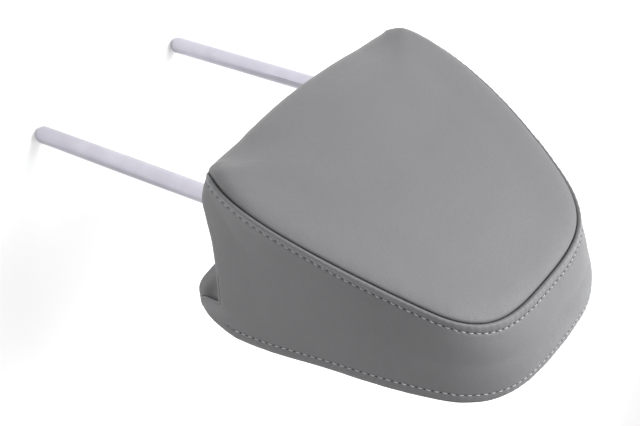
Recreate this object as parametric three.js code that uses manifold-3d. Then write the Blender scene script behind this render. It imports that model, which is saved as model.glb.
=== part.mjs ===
// Head restraint for a vehicle seat: a padded, stitched head on a bent tube with two posts.
// Millimetres, +Z up along the posts, front of the head towards -Y, width along X.
// The origin lies midway between the post axes, level with the post tips.
import * as THREE from 'three';
import Module from 'manifold-3d';
import { mergeVertices } from 'three/addons/utils/BufferGeometryUtils.js';

const wasm = await Module();
wasm.setup();

// ---------------------------------------------------------------- driving dimensions
const GAP = 0.3;
const COVER_THICKNESS = 2;
const FOAM_CLEARANCE = 0.6;
const ROUND = 32;

// Underside of the head, and the fuller lip that hangs below it along the rear edge.
const UNDERSIDE = { frontZ: 193, z: 203.5, risen: 0.44 };
const LIP = { z: 171, start: 0.76, end: 0.88, belly: 4 };

// The front panel's seam leans back; the rear panel's seam stands nearly upright.
const FRONT_SEAM = { y: -49.5, z: 205, lean: 0.483, bow: -7, top: 394, edge: 113, corner: [9, 9] };
const REAR_SEAM = { y: 81, z: 218, lean: 0.088, bow: -8, top: 406, edge: 124.5, corner: [32, 50] };
const REAR_TUCK = { startZ: 250, depth: 10 };

// Handles and shoulder of each seam's half outline, as [x, z].
const FRONT_OUTLINE = { waist: [134, 255], armpit: [98, 342], shoulder: [87, 363], crest: [70, 393] };
const REAR_OUTLINE = { waist: [122, 268], armpit: [108, 352], shoulder: [88, 378], crest: [67, 404] };
const TOP_HANDLE_X = 41;

const FRONT_CROWN = { middle: 7, side: 6, bottom: 11, squareness: 8, direction: [0, -0.9, 0.435] };
const REAR_CROWN = { middle: 12, side: 9, bottom: 9, squareness: 5, direction: [0, 0.996, -0.088] };
const WRAP = { startZ: 211, depth: 16, forward: 13 };
const SIDE_SWELL = 0.014;
const TOP_SWELL = 7;

// Grid of the head's surface: segments of half a loop, rows from front to rear, rings of a panel.
const HALF_LOOP = { bottom: 4, corner: 4, side: 7, top: 7 };
const BAND_ROWS = [0, 0.15, 0.35, 0.55, 0.73, 0.78, 0.82, 0.86, 0.92, 0.96, 1];
const CLOSURE_ROW = 8;
const PANEL_RINGS = [0.95, 0.86, 0.7, 0.4];
const SEAM_SETBACK = 0.45;

const POST = { diameter: 14, wall: 2, spacing: 160, straight: 234 };
const TIP = { length: 7, flat: 2.5, nose: 5 };
const FRAME = { lean: THREE.MathUtils.degToRad(24), bendRadius: 40, cornerRadius: 35, height: 100 };
const NOTCH = { count: 3, firstZ: 62, pitch: 20, depth: 1.5, height: 5 };
const VENT_RADIUS = 1.5;

const CARRIER = { halfWidth: 92, bottom: 14, top: 112, front: -12, rear: 14, wall: 2.5, corner: 30 };
const SCREW = { columns: [-45, 0, 45], rows: [26, 84], bossRadius: 4.2, hole: 1.8, shank: 1.4, head: 3.4 };
const PLATE = { halfWidth: 87, bottom: 38, top: 72, front: 7.4, thickness: 2 };
const LIGHTENING_HOLE = { radius: 9, columns: [-32, 0, 32] };
const SADDLE = { thickness: 1.4, height: 24, flange: 15, neck: 5 };
const RIVET = { radius: 2, hole: 2.4, head: 3.4, headHeight: 1.4, spacing: 12, inset: 15.5 };
const COLLAR = { bore: 7.5, sleeve: 9.6, flange: 11.5, flangeHeight: 2.5, top: 200.2, sleeveTop: 216 };
const COLLAR_HOLE_RADIUS = 10.1;
const STRIP = { length: 160, y: 58.5, z: 179, thickness: 1.5 };

// ---------------------------------------------------------------- materials
const leatherette = () => new THREE.MeshStandardMaterial({ color: 0x7f7f82, roughness: 0.62, metalness: 0 });
const chrome = () => new THREE.MeshStandardMaterial({ color: 0xdcdae3, roughness: 0.12, metalness: 1 });
const zincSteel = () => new THREE.MeshStandardMaterial({ color: 0x9a9c9f, roughness: 0.45, metalness: 1 });
const blackPlastic = () => new THREE.MeshStandardMaterial({ color: 0x1e1e20, roughness: 0.5, metalness: 0 });
const foam = () => new THREE.MeshStandardMaterial({ color: 0xd9cfae, roughness: 0.95, metalness: 0 });

// ---------------------------------------------------------------- helpers
const { lerp, clamp, smoothstep } = THREE.MathUtils;

function mesh(name, geometry, material) {
  const part = new THREE.Mesh(geometry, material);
  part.name = name;
  return part;
}

function toSolid(geometry) {
  const bare = geometry.clone();
  bare.deleteAttribute('normal');
  bare.deleteAttribute('uv');
  const merged = mergeVertices(bare, 1e-4);
  return new wasm.Manifold(new wasm.Mesh({
    numProp: 3,
    vertProperties: new Float32Array(merged.attributes.position.array),
    triVerts: new Uint32Array(merged.index.array),
  }));
}

function toGeometry(solid) {
  const { vertProperties, triVerts } = solid.getMesh();
  const geometry = new THREE.BufferGeometry();
  geometry.setAttribute('position', new THREE.Float32BufferAttribute(vertProperties, 3));
  geometry.setIndex(new THREE.Uint32BufferAttribute(triVerts, 1));
  geometry.computeVertexNormals();
  return geometry;
}

function cut(geometry, cutters) {
  return toGeometry(cutters.reduce((rest, cutter) => rest.subtract(toSolid(cutter)), toSolid(geometry)));
}

// A closed lathe body about Z from [radius, z] corners; an outline off the axis closes on itself.
function lathe(corners, segments = ROUND) {
  const outline = corners.map(([radius, z]) => new THREE.Vector2(radius, z));
  if (corners[0][0] > 0) outline.push(outline[0].clone());
  return new THREE.LatheGeometry(outline, segments).rotateX(Math.PI / 2);
}

// A round rod from low to high along Z.
function rodZ(radius, low, high, x = 0, y = 0) {
  const rod = new THREE.CylinderGeometry(radius, radius, high - low, ROUND);
  return rod.rotateX(Math.PI / 2).translate(x, y, (low + high) / 2);
}

// A round rod from low to high along Y.
function rodY(radius, low, high, x, z, segments = 14) {
  const rod = new THREE.CylinderGeometry(radius, radius, high - low, segments);
  return rod.translate(x, (low + high) / 2, z);
}

function box(x, y, z) {
  const block = new THREE.BoxGeometry(x[1] - x[0], y[1] - y[0], z[1] - z[0]);
  return block.translate((x[0] + x[1]) / 2, (y[0] + y[1]) / 2, (z[0] + z[1]) / 2);
}

// ---------------------------------------------------------------- surface of the head
const vector2 = ([x, z]) => new THREE.Vector2(x, z);
const between = (a, b, t) => [lerp(a[0], b[0], t), lerp(a[1], b[1], t)];

// How far back the front seam lies at a height, with the panel's wrap over the lower edge.
function frontSeamY(x, z) {
  const u = clamp((z - FRONT_SEAM.z) / (FRONT_SEAM.top - FRONT_SEAM.z), 0, 1);
  const wrap = Math.max(0, (WRAP.startZ - z) / (WRAP.startZ - UNDERSIDE.frontZ)) ** 2;
  const forward = WRAP.forward * (1 - (x / FRONT_SEAM.edge) ** 2);
  const leaning = FRONT_SEAM.y + FRONT_SEAM.lean * (z - FRONT_SEAM.z) + FRONT_SEAM.bow * 4 * u * (1 - u);
  return leaning + wrap * (WRAP.depth - forward);
}

function rearSeamY(z) {
  const u = clamp((z - REAR_SEAM.z) / (REAR_SEAM.top - REAR_SEAM.z), 0, 1);
  const tuck = Math.max(0, (REAR_TUCK.startZ - z) / (REAR_TUCK.startZ - LIP.z)) ** 1.5;
  const upright = REAR_SEAM.y + REAR_SEAM.lean * (z - REAR_SEAM.z) + REAR_SEAM.bow * 4 * u * (1 - u);
  return upright - REAR_TUCK.depth * tuck;
}

// The right half of the loop at depth t (0 at the front seam, 1 at the rear), as [x, z].
function halfOutline(t) {
  const drop = smoothstep(t, LIP.start, LIP.end);
  const underside = lerp(UNDERSIDE.frontZ, UNDERSIDE.z, smoothstep(t, 0, UNDERSIDE.risen));
  const bottomZ = lerp(underside, LIP.z, drop);
  const corner = between(FRONT_SEAM.corner, REAR_SEAM.corner, drop);
  const edge = lerp(FRONT_SEAM.edge, REAR_SEAM.edge, t);
  const foot = [edge, bottomZ + corner[1]];
  const heel = [edge - corner[0], bottomZ];
  const outline = {};
  for (const key of Object.keys(FRONT_OUTLINE)) {
    outline[key] = between(FRONT_OUTLINE[key], REAR_OUTLINE[key], t);
  }
  const topZ = lerp(FRONT_SEAM.top, REAR_SEAM.top, t);
  const corners = {
    bottom: [[0, bottomZ], heel],
    corner: [heel, [edge - 1, bottomZ], foot],
    side: [foot, outline.waist, outline.armpit, outline.shoulder],
    top: [outline.shoulder, outline.crest, [TOP_HANDLE_X, topZ], [0, topZ]],
  };
  const runs = [
    [HALF_LOOP.bottom, new THREE.LineCurve(...corners.bottom.map(vector2))],
    [HALF_LOOP.corner, new THREE.QuadraticBezierCurve(...corners.corner.map(vector2))],
    [HALF_LOOP.side, new THREE.CubicBezierCurve(...corners.side.map(vector2))],
    [HALF_LOOP.top, new THREE.CubicBezierCurve(...corners.top.map(vector2))],
  ];
  const points = [[0, bottomZ]];
  for (const [segments, curve] of runs) {
    for (let k = 1; k <= segments; k += 1) points.push(curve.getPoint(k / segments).toArray());
  }
  return { points, heelX: heel[0] };
}

// A closed loop of the padded band at depth t, starting at the middle of the underside.
function bandLoop(t) {
  const { points, heelX } = halfOutline(t);
  const swell = 4 * t * (1 - t);
  const lipPhase = clamp((t - LIP.start) / (1 - LIP.start), 0, 1);
  const half = points.map(([x, z]) => {
    const y = lerp(frontSeamY(x, z), rearSeamY(z), t);
    const height = clamp((z - 300) / 100, 0, 1);
    const belly = LIP.belly * Math.sin(Math.PI * lipPhase ** 2) * Math.max(0, 1 - (x / heelX) ** 2);
    const under = z < UNDERSIDE.z ? belly : 0;
    return new THREE.Vector3(x * (1 + SIDE_SWELL * swell), y, z + TOP_SWELL * swell * height ** 2 - under);
  });
  const mirrored = half.slice(1, -1).reverse().map((p) => new THREE.Vector3(-p.x, p.y, p.z));
  return [...half, ...mirrored];
}

// One inner ring of a crowned panel whose rim is the given loop.
function panelRing(rim, centre, crown, r) {
  const direction = new THREE.Vector3(...crown.direction);
  return rim.map((p) => {
    const low = smoothstep(260 - p.z, 0, 60);
    const edgeHeight = lerp(crown.side, crown.bottom, low);
    const height = lerp(crown.middle, edgeHeight, r ** 4) * Math.sqrt(1 - r ** crown.squareness);
    return centre.clone().lerp(p, r).addScaledVector(direction, height);
  });
}

// The whole closed surface: points and faces, each face marked with the panel it belongs to.
function headSurface() {
  const rows = BAND_ROWS.map(bandLoop);
  const count = rows[0].length;
  const loops = [...rows];
  const faces = [];
  const underHalf = HALF_LOOP.bottom + HALF_LOOP.corner / 2;
  const isUnder = (i) => i < underHalf || i >= count - underHalf;

  const joinLoops = (a, b, panelAt) => {
    for (let i = 0; i < count; i += 1) {
      const next = (i + 1) % count;
      const corners = [a * count + i, b * count + i, b * count + next, a * count + next];
      const panel = panelAt(i);
      faces.push({ panel, corners: [corners[0], corners[1], corners[2]] });
      faces.push({ panel, corners: [corners[0], corners[2], corners[3]] });
    }
  };
  for (let row = 0; row < rows.length - 1; row += 1) {
    const under = row < CLOSURE_ROW ? 'front' : 'rear';
    joinLoops(row, row + 1, (i) => (isUnder(i) ? under : 'band'));
  }

  const centres = [];
  const addPanel = (panel, rimRow, crown, facesFront) => {
    const rim = rows[rimRow];
    const middleZ = (rim[0].z + rim[count / 2].z) / 2;
    const flank = rim.find((p, i) => i > underHalf && p.z > middleZ);
    const centre = new THREE.Vector3(0, flank.y, middleZ);
    let outer = rimRow;
    for (const r of PANEL_RINGS) {
      loops.push(panelRing(rim, centre, crown, r));
      const inner = loops.length - 1;
      if (facesFront) joinLoops(inner, outer, () => panel);
      else joinLoops(outer, inner, () => panel);
      outer = inner;
    }
    const tip = centre.addScaledVector(new THREE.Vector3(...crown.direction), crown.middle);
    centres.push({ panel, tip, outer, facesFront });
  };
  addPanel('front', 0, FRONT_CROWN, true);
  addPanel('rear', rows.length - 1, REAR_CROWN, false);

  const points = loops.flat();
  for (const { panel, tip, outer, facesFront } of centres) {
    const centreIndex = points.push(tip) - 1;
    for (let i = 0; i < count; i += 1) {
      const a = outer * count + i;
      const b = outer * count + ((i + 1) % count);
      faces.push({ panel, corners: facesFront ? [centreIndex, a, b] : [centreIndex, b, a] });
    }
  }
  return { points, faces, normals: pointNormals(points, faces) };
}

function pointNormals(points, faces) {
  const normals = points.map(() => new THREE.Vector3());
  for (const { corners } of faces) {
    const [a, b, c] = corners.map((index) => points[index]);
    const facing = b.clone().sub(a).cross(c.clone().sub(a));
    for (const index of corners) normals[index].add(facing);
  }
  return normals.map((n) => n.normalize());
}

function indexedGeometry(points, triangles) {
  const geometry = new THREE.BufferGeometry();
  geometry.setAttribute('position', new THREE.Float32BufferAttribute(points.flatMap((p) => p.toArray()), 3));
  geometry.setIndex(triangles.flat());
  geometry.computeVertexNormals();
  return geometry;
}

// The surface moved inwards along its normals, as one closed body.
function insetBody(surface, distance) {
  const points = surface.points.map((p, i) => p.clone().addScaledVector(surface.normals[i], -distance));
  return indexedGeometry(points, surface.faces.map((face) => face.corners));
}

// Moves the rim of a panel back from the seam line, towards the panel's own middle.
function setBackRim(surface, triangles, rimPoints) {
  const moved = new Map();
  for (const index of rimPoints) {
    const near = new Set(triangles.filter((triangle) => triangle.includes(index)).flat());
    near.delete(index);
    const inside = [...near].filter((other) => !rimPoints.has(other));
    const towards = (inside.length ? inside : [...near]).map((other) => surface.points[other]);
    const middle = towards.reduce((sum, p) => sum.add(p), new THREE.Vector3()).divideScalar(towards.length);
    const start = surface.points[index];
    const inward = middle.sub(start).projectOnPlane(surface.normals[index]).normalize();
    moved.set(index, start.clone().addScaledVector(inward, SEAM_SETBACK));
  }
  return moved;
}

// One panel of the cover, given its thickness by an inner skin and a wall along its rim.
function coverPanel(surface, panel) {
  const triangles = surface.faces.filter((face) => face.panel === panel).map((face) => face.corners);
  const edges = new Map();
  for (const [a, b, c] of triangles) {
    for (const [from, to] of [[a, b], [b, c], [c, a]]) edges.set(`${from}-${to}`, [from, to]);
  }
  const rim = [...edges.values()].filter(([from, to]) => !edges.has(`${to}-${from}`));
  const moved = setBackRim(surface, triangles, new Set(rim.flat()));
  const used = [...new Set(triangles.flat())];
  const place = new Map(used.map((index, order) => [index, order]));
  const outer = used.map((index) => moved.get(index) ?? surface.points[index]);
  const inner = used.map((index, order) => (
    outer[order].clone().addScaledVector(surface.normals[index], -COVER_THICKNESS)
  ));
  const count = used.length;
  const skin = triangles.map((triangle) => triangle.map((index) => place.get(index)));
  const lining = skin.map(([a, b, c]) => [a + count, c + count, b + count]);
  const walls = rim.flatMap(([from, to]) => {
    const [a, b] = [place.get(from), place.get(to)];
    return [[b, a, a + count], [b, a + count, b + count]];
  });
  return indexedGeometry([...outer, ...inner], [...skin, ...lining, ...walls]);
}

// ---------------------------------------------------------------- post frame
// Path with chosen stations, so that straight runs need only their two ends.
class StationPath extends THREE.Curve {
  constructor(stations) {
    super();
    this.stations = stations;
  }

  station(u) {
    return this.stations[Math.round(u * (this.stations.length - 1))];
  }

  getPointAt(u, target = new THREE.Vector3()) {
    return target.copy(this.station(u).point);
  }

  getTangentAt(u, target = new THREE.Vector3()) {
    return target.copy(this.station(u).tangent);
  }
}

const postX = POST.spacing / 2;
const bendReach = FRAME.bendRadius * Math.tan(FRAME.lean / 2);
const frameFoot = new THREE.Vector3(0, 0, POST.straight + bendReach);
const leanDirection = new THREE.Vector3(0, Math.sin(FRAME.lean), Math.cos(FRAME.lean));

// Stations of the right post, its backward bend, the top corner and half of the crossbar.
function halfFrameStations(startZ) {
  const stations = [];
  const along = (point, tangent) => stations.push({ point, tangent });
  along(new THREE.Vector3(postX, 0, startZ), new THREE.Vector3(0, 0, 1));
  const bendSteps = 4;
  for (let k = 0; k <= bendSteps; k += 1) {
    const angle = (FRAME.lean * k) / bendSteps;
    const point = new THREE.Vector3(
      postX,
      FRAME.bendRadius * (1 - Math.cos(angle)),
      POST.straight + FRAME.bendRadius * Math.sin(angle),
    );
    along(point, new THREE.Vector3(0, Math.sin(angle), Math.cos(angle)));
  }
  const cornerSteps = 8;
  for (let k = 0; k <= cornerSteps; k += 1) {
    const angle = (Math.PI / 2) * (k / cornerSteps);
    const rise = FRAME.height - FRAME.cornerRadius * (1 - Math.sin(angle));
    const point = frameFoot.clone().addScaledVector(leanDirection, rise);
    point.x = postX - FRAME.cornerRadius * (1 - Math.cos(angle));
    const tangent = leanDirection.clone().multiplyScalar(Math.cos(angle));
    tangent.x = -Math.sin(angle);
    along(point, tangent);
  }
  return stations;
}

function frameRod(radius, startZ) {
  const right = halfFrameStations(startZ);
  const left = right.map(({ point, tangent }) => ({
    point: new THREE.Vector3(-point.x, point.y, point.z),
    tangent: new THREE.Vector3(tangent.x, -tangent.y, -tangent.z),
  })).reverse();
  const path = new StationPath([...right, ...left]);
  const section = new THREE.Shape().absarc(0, 0, radius, 0, 2 * Math.PI);
  const steps = path.stations.length - 1;
  return new THREE.ExtrudeGeometry(section, { steps, curveSegments: 12, extrudePath: path });
}

// Ring that turns off the outer edge of a post tip, leaving a rounded nose.
function noseCutter(x) {
  const radius = POST.diameter / 2;
  const flat = TIP.flat;
  const nose = [1, 0.75, 0.5, 0.25, 0].map((part) => {
    const angle = (part * Math.PI) / 2;
    return [flat + (radius + 0.1 - flat) * Math.sin(angle), TIP.nose * (1 - Math.cos(angle))];
  });
  const ring = lathe([[flat, -1], [radius + 2, -1], [radius + 2, TIP.nose], ...nose]);
  return ring.translate(x, 0, 0);
}

function postFrame() {
  const bore = frameRod(POST.diameter / 2 - POST.wall, TIP.length);
  const cutters = [bore, noseCutter(postX), noseCutter(-postX)];
  const vent = frameFoot.clone().addScaledVector(leanDirection, FRAME.height);
  cutters.push(rodY(VENT_RADIUS, vent.y, vent.y + POST.diameter, 0, vent.z, 12));
  const back = POST.diameter / 2;
  for (let k = 0; k < NOTCH.count; k += 1) {
    const z = NOTCH.firstZ + k * NOTCH.pitch;
    for (const x of [-postX, postX]) {
      cutters.push(box([x - 9, x + 9], [back - NOTCH.depth, back + 2], [z, z + NOTCH.height]));
    }
  }
  return cut(frameRod(POST.diameter / 2, 0), cutters);
}

// ---------------------------------------------------------------- carrier around the frame
// Carrier parts are drawn in the frame's leaning plane: Z up the frame, Y out of its back.
function placeOnFrame(object) {
  object.position.copy(frameFoot);
  object.rotation.x = -FRAME.lean;
  object.updateMatrix();
  return object;
}

// A plate with rounded top corners, from one Y to another.
function carrierBlock(inset, yLow, yHigh) {
  const halfWidth = CARRIER.halfWidth - inset;
  const [bottom, top] = [CARRIER.bottom + inset, CARRIER.top - inset];
  const radius = CARRIER.corner - inset;
  const shape = new THREE.Shape();
  shape.moveTo(-halfWidth, bottom);
  shape.lineTo(halfWidth, bottom);
  shape.absarc(halfWidth - radius, top - radius, radius, 0, Math.PI / 2);
  shape.absarc(radius - halfWidth, top - radius, radius, Math.PI / 2, Math.PI);
  shape.closePath();
  const settings = { depth: yHigh - yLow, bevelEnabled: false, curveSegments: 6 };
  const block = new THREE.ExtrudeGeometry(shape, settings);
  return block.rotateX(Math.PI / 2).translate(0, yHigh, 0);
}

const screwPlaces = SCREW.rows.flatMap((z) => SCREW.columns.map((x) => [x, z]));

// One half of the clamshell; side is -1 for the front half and 1 for the rear half.
function carrierShell(side) {
  const outside = side < 0 ? CARRIER.front : CARRIER.rear;
  const split = side * GAP / 2;
  const floor = outside - side * CARRIER.wall;
  const range = (a, b) => [Math.min(a, b), Math.max(a, b)];
  let shell = toSolid(carrierBlock(0, ...range(outside, split)));
  shell = shell.subtract(toSolid(carrierBlock(CARRIER.wall, ...range(floor, split - side * 5))));
  const holes = [];
  for (const [x, z] of screwPlaces) {
    shell = shell.add(toSolid(rodY(SCREW.bossRadius, ...range(floor + side, split), x, z)));
    const end = side < 0 ? outside - 1 : floor;
    holes.push(rodY(SCREW.hole, ...range(end, split - side), x, z));
  }
  for (const x of [-postX, postX]) holes.push(rodZ(POST.diameter / 2 + 0.5, CARRIER.bottom - 5, 60, x));
  return toGeometry(holes.reduce((rest, hole) => rest.subtract(toSolid(hole)), shell));
}

function carrierScrew() {
  const headTop = CARRIER.front - GAP;
  const tip = CARRIER.rear - CARRIER.wall - GAP - 1;
  const { head, shank } = SCREW;
  const screw = lathe([[0, headTop - 2], [head * 0.8, headTop - 2], [head, headTop - 1.2], [head, headTop],
    [shank, headTop], [shank, tip - 2], [0.4, tip], [0, tip]], 12);
  return screw.rotateX(-Math.PI / 2);
}

const plateMiddle = (PLATE.bottom + PLATE.top) / 2;
const rivetPlaces = [-1, 1].flatMap((side) => [-0.5, 0.5].map((row) => [
  side * (postX - RIVET.inset),
  plateMiddle + row * RIVET.spacing,
]));

function supportPlate() {
  const back = PLATE.front + PLATE.thickness;
  const plate = box([-PLATE.halfWidth, PLATE.halfWidth], [PLATE.front, back], [PLATE.bottom, PLATE.top]);
  const holeAt = (radius, x, z, segments) => rodY(radius, PLATE.front - 1, back + 1, x, z, segments);
  const lightening = LIGHTENING_HOLE.columns.map((x) => holeAt(LIGHTENING_HOLE.radius, x, plateMiddle, 24));
  return cut(plate, [...lightening, ...rivetPlaces.map(([x, z]) => holeAt(RIVET.hole, x, z))]);
}

// A strap over the front of one post, with its flange on the inner side; side is -1 or 1.
function tubeSaddle(side) {
  const inside = POST.diameter / 2 + 0.4;
  const outside = inside + SADDLE.thickness;
  const seat = PLATE.front - GAP;
  const face = seat - SADDLE.thickness;
  const reach = inside + SADDLE.flange;
  const hook = 2 * Math.PI + 0.3;
  const shape = new THREE.Shape();
  shape.moveTo(-reach, face);
  shape.lineTo(-Math.sqrt(outside ** 2 - face ** 2), face);
  shape.absarc(0, 0, outside, Math.PI - Math.asin(face / outside), hook, false);
  shape.lineTo(inside * Math.cos(hook), inside * Math.sin(hook));
  shape.absarc(0, 0, inside, hook, Math.PI - Math.asin(SADDLE.neck / inside), true);
  shape.lineTo(-Math.sqrt(inside ** 2 - SADDLE.neck ** 2), seat);
  shape.lineTo(-reach, seat);
  shape.closePath();
  const strap = new THREE.ExtrudeGeometry(shape, {
    depth: SADDLE.height,
    bevelEnabled: false,
    curveSegments: 14,
  }).translate(0, 0, -SADDLE.height / 2);
  if (side < 0) strap.rotateY(Math.PI);
  const holes = rivetPlaces.filter(([x]) => Math.sign(x) === side);
  return cut(
    strap.translate(side * postX, 0, plateMiddle),
    holes.map(([x, z]) => rodY(RIVET.hole, 0, 12, x, z)),
  );
}

function saddleRivet() {
  const front = PLATE.front - GAP - SADDLE.thickness - GAP;
  const back = PLATE.front + PLATE.thickness + GAP;
  const { radius, head, headHeight } = RIVET;
  const rivet = lathe([
    [0, front - headHeight], [head * 0.7, front - headHeight], [head, front], [radius, front],
    [radius, back], [head * 0.9, back], [head * 0.6, back + headHeight], [0, back + headHeight],
  ], 12);
  return rivet.rotateX(-Math.PI / 2);
}

// ---------------------------------------------------------------- trim
function postCollar() {
  const { bore, sleeve, flange, flangeHeight, top, sleeveTop } = COLLAR;
  const bottom = top - flangeHeight;
  return lathe([[bore, bottom], [flange - 1, bottom], [flange, bottom + 1], [flange, top], [sleeve, top],
    [sleeve, sleeveTop], [bore, sleeveTop]]);
}

// Two hooked strips that hold the cover shut along the lip, drawn as [y, z] from the strip's corner.
function closureStrip(hooked) {
  const t = STRIP.thickness;
  const upper = [[0, 0], [4, 0], [4, 7.3], [8, 7.3], [8, 4.3], [8 + t, 4.3], [8 + t, 7.3 + t],
    [4 - t, 7.3 + t], [4 - t, t], [0, t]];
  const lower = [[5, 2], [11.5, 2], [11.5, 2 + t], [5 + t, 2 + t], [5 + t, 6.6], [5, 6.6]];
  const outline = (hooked ? upper : lower).map(([y, z]) => new THREE.Vector2(STRIP.y + y, STRIP.z + z));
  const settings = { depth: STRIP.length, bevelEnabled: false };
  const strip = new THREE.ExtrudeGeometry(new THREE.Shape(outline), settings);
  const axes = new THREE.Matrix4().makeBasis(
    new THREE.Vector3(0, 1, 0),
    new THREE.Vector3(0, 0, 1),
    new THREE.Vector3(1, 0, 0),
  );
  return strip.applyMatrix4(axes).translate(-STRIP.length / 2, 0, 0);
}

// ---------------------------------------------------------------- foam
function foamBun(surface) {
  const bun = insetBody(surface, COVER_THICKNESS + FOAM_CLEARANCE);
  const carrierCavity = carrierBlock(-0.5, CARRIER.front - 2.9, CARRIER.rear + 0.5);
  carrierCavity.applyMatrix4(placeOnFrame(new THREE.Object3D()).matrix);
  const stripPocket = box(
    [-STRIP.length / 2 - 1, STRIP.length / 2 + 1],
    [STRIP.y - 1, STRIP.y + 14],
    [LIP.z - 8, STRIP.z + 10],
  );
  const cutters = [carrierCavity, stripPocket, frameRod(POST.diameter / 2 + 0.6, 150)];
  for (const x of [-postX, postX]) cutters.push(rodZ(COLLAR_HOLE_RADIUS, 150, COLLAR.sleeveTop + 1, x));
  return cut(bun, cutters);
}

// ---------------------------------------------------------------- assembly
const surface = headSurface();
const headRestraint = new THREE.Group();
headRestraint.name = 'head_restraint';

const postHoles = [-postX, postX].map((x) => rodZ(COLLAR_HOLE_RADIUS, UNDERSIDE.z - 12, UNDERSIDE.z + 12, x));
headRestraint.add(mesh('front_cover', cut(coverPanel(surface, 'front'), postHoles), leatherette()));
headRestraint.add(mesh('side_band_cover', coverPanel(surface, 'band'), leatherette()));
headRestraint.add(mesh('rear_cover', coverPanel(surface, 'rear'), leatherette()));
headRestraint.add(mesh('foam_bun', foamBun(surface), foam()));
headRestraint.add(mesh('front_closure_strip', closureStrip(true), blackPlastic()));
headRestraint.add(mesh('rear_closure_strip', closureStrip(false), blackPlastic()));
headRestraint.add(mesh('post_frame', postFrame(), chrome()));
for (const [side, word] of [[-1, 'left'], [1, 'right']]) {
  const collar = mesh(`${word}_post_collar`, postCollar(), blackPlastic());
  collar.position.x = side * postX;
  headRestraint.add(collar);
}

const carrier = placeOnFrame(new THREE.Group());
carrier.add(mesh('front_carrier_shell', carrierShell(-1), blackPlastic()));
carrier.add(mesh('rear_carrier_shell', carrierShell(1), blackPlastic()));
carrier.add(mesh('support_plate', supportPlate(), zincSteel()));
carrier.add(mesh('left_tube_saddle', tubeSaddle(-1), zincSteel()));
carrier.add(mesh('right_tube_saddle', tubeSaddle(1), zincSteel()));
rivetPlaces.forEach(([x, z], k) => {
  const rivet = mesh(`saddle_rivet_${k + 1}`, saddleRivet(), zincSteel());
  rivet.position.set(x, 0, z);
  carrier.add(rivet);
});
screwPlaces.forEach(([x, z], k) => {
  const screw = mesh(`carrier_screw_${k + 1}`, carrierScrew(), zincSteel());
  screw.position.set(x, 0, z);
  carrier.add(screw);
});
headRestraint.add(carrier);

export default headRestraint;
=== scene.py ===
import math
import random

import bpy
import numpy as np
from mathutils import Matrix, Vector, kdtree, noise
from mathutils.bvhtree import BVHTree


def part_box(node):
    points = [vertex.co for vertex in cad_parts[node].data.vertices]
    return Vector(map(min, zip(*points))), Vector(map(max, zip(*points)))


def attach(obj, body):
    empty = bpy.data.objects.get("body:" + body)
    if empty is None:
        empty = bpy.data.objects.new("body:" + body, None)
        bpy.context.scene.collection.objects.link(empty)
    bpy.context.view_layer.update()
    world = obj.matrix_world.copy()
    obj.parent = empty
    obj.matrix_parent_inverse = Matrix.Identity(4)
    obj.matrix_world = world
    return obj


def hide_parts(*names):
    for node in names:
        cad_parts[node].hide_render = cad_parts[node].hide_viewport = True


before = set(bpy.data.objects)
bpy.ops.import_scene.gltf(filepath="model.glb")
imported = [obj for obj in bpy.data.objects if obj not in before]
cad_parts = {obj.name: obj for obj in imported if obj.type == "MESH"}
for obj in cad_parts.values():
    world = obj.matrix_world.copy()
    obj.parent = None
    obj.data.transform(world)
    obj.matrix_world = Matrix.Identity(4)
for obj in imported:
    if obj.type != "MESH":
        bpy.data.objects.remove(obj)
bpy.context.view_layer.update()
MM = 0.001

# ---------------------------------------------------------------- driving dimensions, in mm
# The head's form repeats the CAD source: two seam outlines, the band between them, two crowns.
# Shares of the depth run from 0 at the front seam to 1 at the rear seam.
UNDERSIDE = [(0, 194), (0.1, 192), (0.2, 194), (0.3, 197), (0.4, 199.6), (0.5, 201), (0.6, 201.5)]
UNDERSIDE_EASE = 0.05
FRONT_BELLY = (4.5, 0.08, 0.14)  # fullness, the share where it is greatest, width
LIP_Z, LIP_BELLY, LIP_EASE = 169, 4, 2.2
LIP_START, LIP_END = 0.825, 0.93  # shares at which the underside starts to drop and is down
FRONT_EDGE, REAR_EDGE = 113, 124.5
FRONT_TOP, REAR_TOP = 394, 406
FRONT_CORNER, REAR_CORNER = (9, 9), (32, 50)
BLUNT_CORNER, BLUNT_DEPTH, BLUNT_FLARE = (22, 20), 0.18, 3  # of the front panel's lower corners
FRONT_OUTLINE = [(134, 255), (98, 342), (87, 363), (70, 393)]
REAR_OUTLINE = [(122, 268), (108, 352), (88, 378), (67, 404)]
TOP_HANDLE_X = 41
SIDE_SWELL, TOP_SWELL = 0.014, 7
PANEL_ROUNDING, ROUNDING_STEPS = 120, 800
SLIT_T = (0.925, 0.955)  # share of the closure slit at the middle and at the J lines
FRONT_PANEL = {
    "middle": 7, "side": 3, "bottom": 11, "squareness": 16, "direction": (0, -0.9, 0.435),
}
REAR_PANEL = {
    "middle": 12, "side": 9, "bottom": 9, "squareness": 5, "direction": (0, 0.996, -0.088),
}

CURVE_STEPS = 160
STRIP_COLUMNS, BAND_COLUMNS, DEPTH_STEPS = 60, 328, 97
EDGE_SPACING = [0, 0.25, 0.6, 1.1, 1.7, 2.4, 3.2, 4.2, 5.5, 7]  # of the columns next to a J line
STITCH_PITCH = 5.5
FRONT_STITCH, REAR_STITCH = 7.3, 6.8  # distances of the rows from their seams
FRONT_SEWN_FROM, REAR_SEWN_FROM = (3, 6), (28, 34)  # where a row fades in, past a J line
THREAD_RADIUS = 0.37
SKIN, FOAM_DEPTH = 1.6, 2.5
SEAM_GAP, SEAM_REACH = 0.25, 2.6
FAR_OFF, OFF_ROW = 99, 40  # stand for a distance where there is no seam or no row of stitches

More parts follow.
